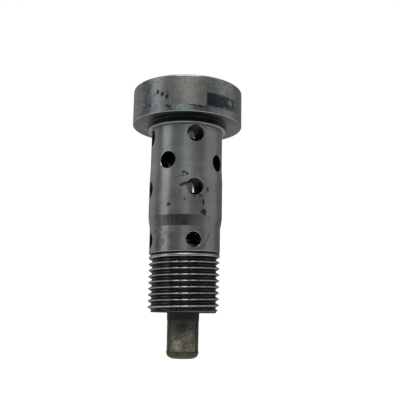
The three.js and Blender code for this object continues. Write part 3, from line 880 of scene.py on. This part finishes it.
def head_marks(look):
    """Mottling on the head, a paler blank rectangle and a dark patch beside it. Under the head, painted shade
    that is partly oil, a painted highlight on the collar's lower edge and a painted shadow line below the
    collar.
    """
    side = look.times(look.step(look.radius, 13.0, 13.6), look.step(look.z, 0.1, 0.4))
    mottle = look.cloud(0.8, 5.0, 0.68, 18.0, 0.44, 0.58)
    look.tint(look.times(side, mottle), (0.72, 0.75, 0.77))
    grit = look.cloud(2.6, 4.0, 0.7, 23.0, 0.46, 0.6)
    look.tint(look.times(side, grit), (0.80, 0.81, 0.82))
    left = look.times(side, look.step(look.azimuth, -22.0, -50.0), look.cloud(1.1, 5.0, 0.7, 19.0, 0.4, 0.56))
    look.tint(left, (0.66, 0.70, 0.76))
    label = look.times(side, look.zone("label"))
    blank = look.mix(mottle, (0.50, 0.51, 0.48), (0.88, 0.88, 0.87), "MULTIPLY")
    blank = look.mix(grit, blank, (0.88, 0.88, 0.87), "MULTIPLY")
    look.colour = look.mix(label, look.colour, blank)
    fade = look.lerp(0.34, 0.54, look.step(look.azimuth, 30.0, 62.0))
    cloud = look.math("SUBTRACT", look.noise(0.9, 5.0, 0.7, 4.0), fade)
    patch = look.times(side, look.zone("patch"), look.step(cloud, -0.03, 0.06))
    look.tint(patch, (0.17, 0.20, 0.23))
    specks = look.times(side, look.zone("specks"), look.cloud(1.6, 4.0, 0.72, 5.0, 0.55, 0.62))
    look.tint(specks, (0.25, 0.26, 0.28))
    for mark in HEAD_BLOTS:
        look.tint(look.times(side, look.blot(*mark, HEAD["radius"])), (0.16, 0.16, 0.18))
    foot = look.times(side, look.step(look.z, 1.85, 1.7))
    look.tint(look.times(foot, look.band(look.azimuth, -14.0, 0.0, 3.0)), (1.45, 1.44, 1.46))
    look.tint(look.times(foot, look.band(look.azimuth, 6.0, 24.0, 4.0)), (0.55, 0.55, 0.56))
    # Painted shade under the head, partly oil: the head's underside and the collar made darker, darkest at
    # the front.
    under = look.times(look.step(look.z, 0.12, -0.05), look.step(look.z, -1.42, -1.2))
    front = look.times(look.step(look.azimuth, -80.0, -30.0), look.step(look.azimuth, 85.0, 35.0))
    look.tint(under, (0.46, 0.49, 0.46))
    look.tint(look.times(under, front), 0.2)
    # Painted highlight: the collar's lower edge made lighter.
    collar_rim_highlight = look.times(look.step(look.z, -1.40, -1.44), look.step(look.radius, 9.25, 9.35),
                     look.step(look.z, -1.6, -1.5))
    look.tint(collar_rim_highlight, (1.25, 1.2, 1.18))
    # Painted shadow: a dark line on the barrel in the corner just below the collar.
    corner = look.times(look.step(look.radius, 9.35, 9.25), look.band(look.z, -1.75, -1.3, 0.05),
                        look.step(look.radius, 8.8, 8.9))
    look.tint(corner, 0.3)


def port_marks(look):
    """Dark oil blots beside the ports, on the barrel."""
    for mark in BARREL_BLOTS:
        look.tint(look.blot(*mark), (0.20, 0.19, 0.18))
    dots = look.cloud(3.2, 2.0, 0.5, 20.0, 0.58, 0.64)
    area = look.blot(31.0, -19.2, 1.5, 1.2, 0)
    look.tint(look.times(area, dots), (0.35, 0.34, 0.33))


def cone_band(look):
    """A dark reddish-brown stain round the front of the cone, in upright streaks."""
    cone = look.times(look.band(look.z, -26.95, -24.3, 0.1), look.step(look.azimuth, -66.0, -14.0),
                      look.step(look.azimuth, 34.0, -2.0))
    streak = look.streaks(14.0, seed=21.0)
    shade = look.mix(look.step(streak, 0.4, 0.6), (0.20, 0.155, 0.145), (0.34, 0.31, 0.27))
    look.tint(cone, shade)
    return cone


def plain_steel(name, shade, rough, lines=0.004, warm=1.0):
    """Machined or rolled steel, a little mottled with oil."""
    look = Look(name)
    blotches = look.noise(0.7, 4.0, 0.6, 7.0)
    dark = (0.72 * shade, 0.71 * shade, 0.69 * shade * warm)
    light = (shade, shade, shade * warm)
    look.colour = look.mix(look.step(blotches, 0.3, 0.7), dark, light)
    marks = look.turned(7.0, seed=8.0)
    look.tint(look.step(marks, 0.55, 0.8), 0.85)
    look.bump(marks, lines)
    return look.finish(look.lerp(0.8 * rough, 1.2 * rough, blotches))


def spool_steel():
    """Lapped lands that mirror, with painted shade making the neck between them near-black."""
    look = Look("spool_steel")
    land = look.step(look.radius, 5.5, 5.75)
    cloud = look.noise(0.7, 4.0, 0.6, 22.0)
    bright = look.mix(cloud, (0.42, 0.42, 0.41), 0.7, "MULTIPLY")
    # Painted shade: everything inside the lands' radius, neck and stem, is near-black.
    look.colour = look.mix(land, (0.035, 0.034, 0.032), bright)
    return look.finish(look.lerp(0.07, 0.11, cloud))


def wire_steel(name, shade, rough):
    """Drawn wire, with fine scratches and a trace of oil."""
    look = Look(name)
    grain = look.noise(3.0, 4.0, 0.6, 9.0)
    dark = (0.6 * shade, 0.59 * shade, 0.57 * shade)
    look.colour = look.mix(look.step(grain, 0.3, 0.75), dark, shade)
    look.bump(look.noise(9.0, 2.0, 0.6, 10.0), 0.004)
    return look.finish(look.lerp(0.8 * rough, 1.3 * rough, grain))


def screen_wire():
    """Woven wire, olive at the tip. Painted shade, partly oil, darkens the lower parts of the wires so the
    top of each crossing stays bright, and a painted highlight lies near the tip.
    """
    look = Look("screen_wire")
    tip = look.step(look.z, -50.0, -56.0)
    look.colour = look.mix(tip, (0.21, 0.205, 0.18), (0.46, 0.44, 0.33))
    oil = look.cloud(0.6, 4.0, 0.6, 11.0, 0.45, 0.65)
    look.tint(oil, (0.6, 0.58, 0.5))
    # Painted highlight: one pale spot near the tip, where the wire would reflect light.
    tip_highlight = look.times(look.blot(-16.0, -55.3, 1.5, 1.4, 0, WEAVE["radius"]), tip)
    look.tint(tip_highlight, (1.6, 1.6, 1.7))
    # Painted shade, partly oil: the lower parts of each wire, under the crossings, made darker.
    low = WEAVE["radius"] + WEAVE["wire"] - WEAVE["lift"]
    under = look.step(look.radius, low + 1.6 * WEAVE["lift"], low - 0.4 * WEAVE["lift"])
    look.tint(under, (0.3, 0.3, 0.27))
    look.bump(look.noise(6.0, 2.0, 0.6, 12.0), 0.005)
    return look.finish(look.lerp(0.3, 0.5, oil), 0.75)


def strainer_plastic():
    """Olive moulded plastic, dark near the thread, yellower at the tip and printed there by the weave."""
    look = Look("strainer_plastic")
    tip = look.step(look.z, -48.0, -56.0)
    look.colour = look.mix(tip, (0.036, 0.034, 0.028), (0.085, 0.087, 0.05))
    look.colour = look.mix(look.step(look.z, -56.6, -57.6), look.colour, (0.125, 0.105, 0.03))
    across = look.times(look.azimuth, STRAINER["radius"] * math.pi / 180)
    wave = 2 * math.pi / (WEAVE["step"] * math.sqrt(2))
    left = look.math("SINE", look.times(look.math("ADD", across, look.z), wave))
    right = look.math("SINE", look.times(look.math("SUBTRACT", across, look.z), wave))
    between = look.step(look.math("MAXIMUM", left, right), 0.75, 0.1)
    weave_print = look.times(between, look.step(look.z, -56.2, -56.6))
    look.tint(weave_print, 0.35)
    cloud = look.noise(0.8, 4.0, 0.6, 13.0)
    look.tint(look.step(cloud, 0.4, 0.66), (0.62, 0.62, 0.56))
    look.bump(look.noise(2.5, 4.0, 0.6, 14.0), 0.012)
    return look.finish(look.lerp(0.3, 0.5, cloud), 0.0)


def seal_rubber():
    """Black rubber, oiled."""
    look = Look("seal_rubber")
    cloud = look.noise(1.2, 4.0, 0.6, 15.0)
    look.colour = look.mix(cloud, (0.012, 0.012, 0.012), (0.03, 0.03, 0.028))
    look.bump(look.noise(8.0, 3.0, 0.6, 16.0), 0.008)
    return look.finish(look.lerp(0.4, 0.6, cloud), 0.0)


def paint(piece, material):
    piece.data.materials.clear()
    piece.data.materials.append(material)


# ---- stage, light and camera ----------------------------------------------------------------------

def facing(azimuth, elevation):
    """The unit vector away from the valve in a direction given in degrees."""
    level = math.cos(math.radians(elevation))
    return Vector((level * math.sin(math.radians(azimuth)), -level * math.cos(math.radians(azimuth)),
                   math.sin(math.radians(elevation))))


def soft_light(name, azimuth, elevation, wide, high, radiance):
    """A soft box that covers that many degrees, seen from the valve's middle."""
    distance = LIGHT_DISTANCE
    lamp = bpy.data.lights.new(name, "AREA")
    lamp.shape = "RECTANGLE"
    lamp.size = 2 * distance * math.tan(math.radians(wide) / 2)
    lamp.size_y = 2 * distance * math.tan(math.radians(high) / 2)
    lamp.energy = radiance * math.pi * lamp.size * lamp.size_y
    light = bpy.data.objects.new(name, lamp)
    away = facing(azimuth, elevation)
    light.location = Vector((0, 0, MIDDLE * MM)) + away * distance
    light.rotation_euler = away.to_track_quat("Z", "Y").to_euler()
    bpy.context.scene.collection.objects.link(light)
    return light


def world_light():
    """A dim grey room: pale below, dark round the horizon, mid-grey above."""
    world = bpy.data.worlds.new("room")
    world.use_nodes = True
    nodes = world.node_tree.nodes
    links = world.node_tree.links
    direction = nodes.new("ShaderNodeTexCoord").outputs["Generated"]
    split = nodes.new("ShaderNodeSeparateXYZ")
    ramp = nodes.new("ShaderNodeValToRGB")
    rise = nodes.new("ShaderNodeMapRange")
    links.new(direction, split.inputs[0])
    links.new(split.outputs["Z"], rise.inputs["Value"])
    rise.inputs["From Min"].default_value = -1.0
    rise.inputs["From Max"].default_value = 1.0
    links.new(rise.outputs["Result"], ramp.inputs["Fac"])
    links.new(ramp.outputs["Color"], nodes["Background"].inputs["Color"])
    ramp.color_ramp.interpolation = "EASE"
    stops = ramp.color_ramp.elements
    for i, (height, grey) in enumerate(ROOM):
        stop = stops[i] if i < 2 else stops.new((height + 1) / 2)
        stop.position = (height + 1) / 2
        stop.color = (grey, grey, grey, 1.0)
    bpy.context.scene.world = world


def stage_piece(name, verts, faces, material):
    """Part of the set. It is seen by the camera and isn't mirrored in the valve."""
    mesh = bpy.data.meshes.new(name)
    mesh.from_pydata(verts, [], faces)
    mesh.materials.append(material)
    piece = bpy.data.objects.new(name, mesh)
    bpy.context.scene.collection.objects.link(piece)
    piece.visible_glossy = False
    piece.visible_diffuse = False
    piece.visible_shadow = False
    return piece


def studio_white(name, glow, grey):
    """A white that glows by itself, so that no shadow greys it."""
    material = bpy.data.materials.new(name)
    material.use_nodes = True
    surface = material.node_tree.nodes["Principled BSDF"]
    surface.inputs["Base Color"].default_value = (grey, grey, grey, 1.0)
    surface.inputs["Roughness"].default_value = 0.9
    surface.inputs["Specular IOR Level"].default_value = 0.0
    surface.inputs["Emission Color"].default_value = (1.0, 1.0, 1.0, 1.0)
    surface.inputs["Emission Strength"].default_value = glow
    return material


def studio():
    """A pale floor under the valve and a white backdrop round it."""
    half = FLOOR["half"]
    z = FLOOR["z"] * MM
    square = [(-half, -half, z), (half, -half, z), (half, half, z), (-half, half, z)]
    stage_piece("floor", square, [[0, 1, 2, 3]], studio_white("floor_white", FLOOR["glow"], 0.8))
    rows = [(math.cos(a), math.sin(a)) for a in np.radians(np.linspace(-80, 80, 17))]
    verts, faces = spin([(0, -1), *rows, (0, 1)], SIDES["dome"])
    dome = [tuple(DOME * c for c in v) for v in verts]
    stage_piece("backdrop", dome, faces, studio_white("backdrop_white", 1.0, 0.0))


def camera():
    """Below the valve's middle and looking up at it, a little rolled."""
    pitch = math.radians(CAMERA["pitch"])
    roll = math.radians(CAMERA["roll"])
    forward = Vector((0, math.cos(pitch), math.sin(pitch)))
    right = Vector((1, 0, 0))
    up = right.cross(forward)
    lens = bpy.data.cameras.new("camera")
    lens.sensor_width = CAMERA["sensor"]
    lens.lens = CAMERA["lens"]
    lens.clip_start = CAMERA["near"]
    lens.clip_end = 4 * DOME
    view = bpy.data.objects.new("camera", lens)
    bpy.context.scene.collection.objects.link(view)
    rolled_right = right * math.cos(roll) + up * math.sin(roll)
    rolled_up = up * math.cos(roll) - right * math.sin(roll)
    axes = Matrix((rolled_right, rolled_up, -forward)).transposed()
    view.matrix_world = Matrix.Translation(Vector(CAMERA["place"]) * MM) @ axes.to_4x4()
    bpy.context.scene.camera = view


# ---- assembly -------------------------------------------------------------------------------------

PIECES = (
    (valve_body, "valve_body", "housing", "body_steel"),
    (port_sleeve, "port_sleeve", "housing", "sleeve_steel"),
    (control_spool, "control_spool", "spool", "spool_steel"),
    (spool_button, "spool_button", "spool", "button_steel"),
    (partial(washer, "seat_disc", "spring_seat", SEAT_HOLE), "spring_seat", "housing", "spring_steel"),
    (stop_washer, "stop_washer", "housing", "washer_steel"),
    (retaining_ring, "retaining_ring", "housing", "ring_steel"),
    (check_valve_cage, "check_valve_cage", "housing", "cage_steel"),
    (check_valve_seat, "check_valve_seat", "housing", "seat_steel"),
    (check_ball, "check_ball", "ball", "ball_steel"),
    (strainer_frame, "strainer_frame", "housing", "strainer_plastic"),
    (seal_ring, "strainer_seal_ring", "housing", "seal_rubber"),
    (lock_ring, "strainer_lock_ring", "housing", "ring_steel"),
    *((partial(strainer_screen, number), f"strainer_screen_{number}", "housing", "screen_wire")
      for number in range(1, STRAINER["ribs"] + 1)),
)
SPRINGS = (
    ("compression_coil", "return_spring", RETURN_SPRING, "spool_slide", "low", 0.556),
    ("ball_coil", "check_spring", CHECK_SPRING, "ball_lift", "high", 0.73),
)
FINISHES = {
    "body_steel": body_steel,
    "sleeve_steel": partial(plain_steel, "sleeve_steel", 0.07, 0.3),
    "spool_steel": spool_steel,
    "button_steel": partial(plain_steel, "button_steel", 0.55, 0.22),
    "spring_steel": partial(wire_steel, "spring_steel", 0.5, 0.28),
    "washer_steel": partial(plain_steel, "washer_steel", 0.42, 0.34),
    "ring_steel": partial(plain_steel, "ring_steel", 0.16, 0.3, warm=0.9),
    "cage_steel": partial(plain_steel, "cage_steel", 0.5, 0.3),
    "seat_steel": partial(plain_steel, "seat_steel", 0.45, 0.25),
    "ball_steel": partial(plain_steel, "ball_steel", 0.7, 0.06, lines=0.0003),
    "strainer_plastic": strainer_plastic,
    "seal_rubber": seal_rubber,
    "screen_wire": screen_wire,
}


def assemble():
    """Makes every piece, in place of its CAD node and on the same body."""
    finishes = {slot: look() for slot, look in FINISHES.items()}
    for build, node, body, slot in PIECES:
        piece = build()
        paint(piece, finishes[slot])
        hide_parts(node)
        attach(piece, body)
    for name, node, spring, joint, held, keep in SPRINGS:
        _, low, high = span(node)
        piece = coil_spring(name, spring, low, high)
        paint(piece, finishes["spring_steel"])
        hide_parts(node)
        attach(piece, "housing")
        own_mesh(piece)


assemble()
world_light()
for light in LIGHTS:
    soft_light(*light)
mirrored = bpy.data.collections.new("mirrored")
mirrored.objects.link(bpy.data.objects["polished_spool"])
soft_light(*STRIP).light_linking.receiver_collection = mirrored
studio()
camera()
bpy.context.scene.view_settings.view_transform = "Standard"
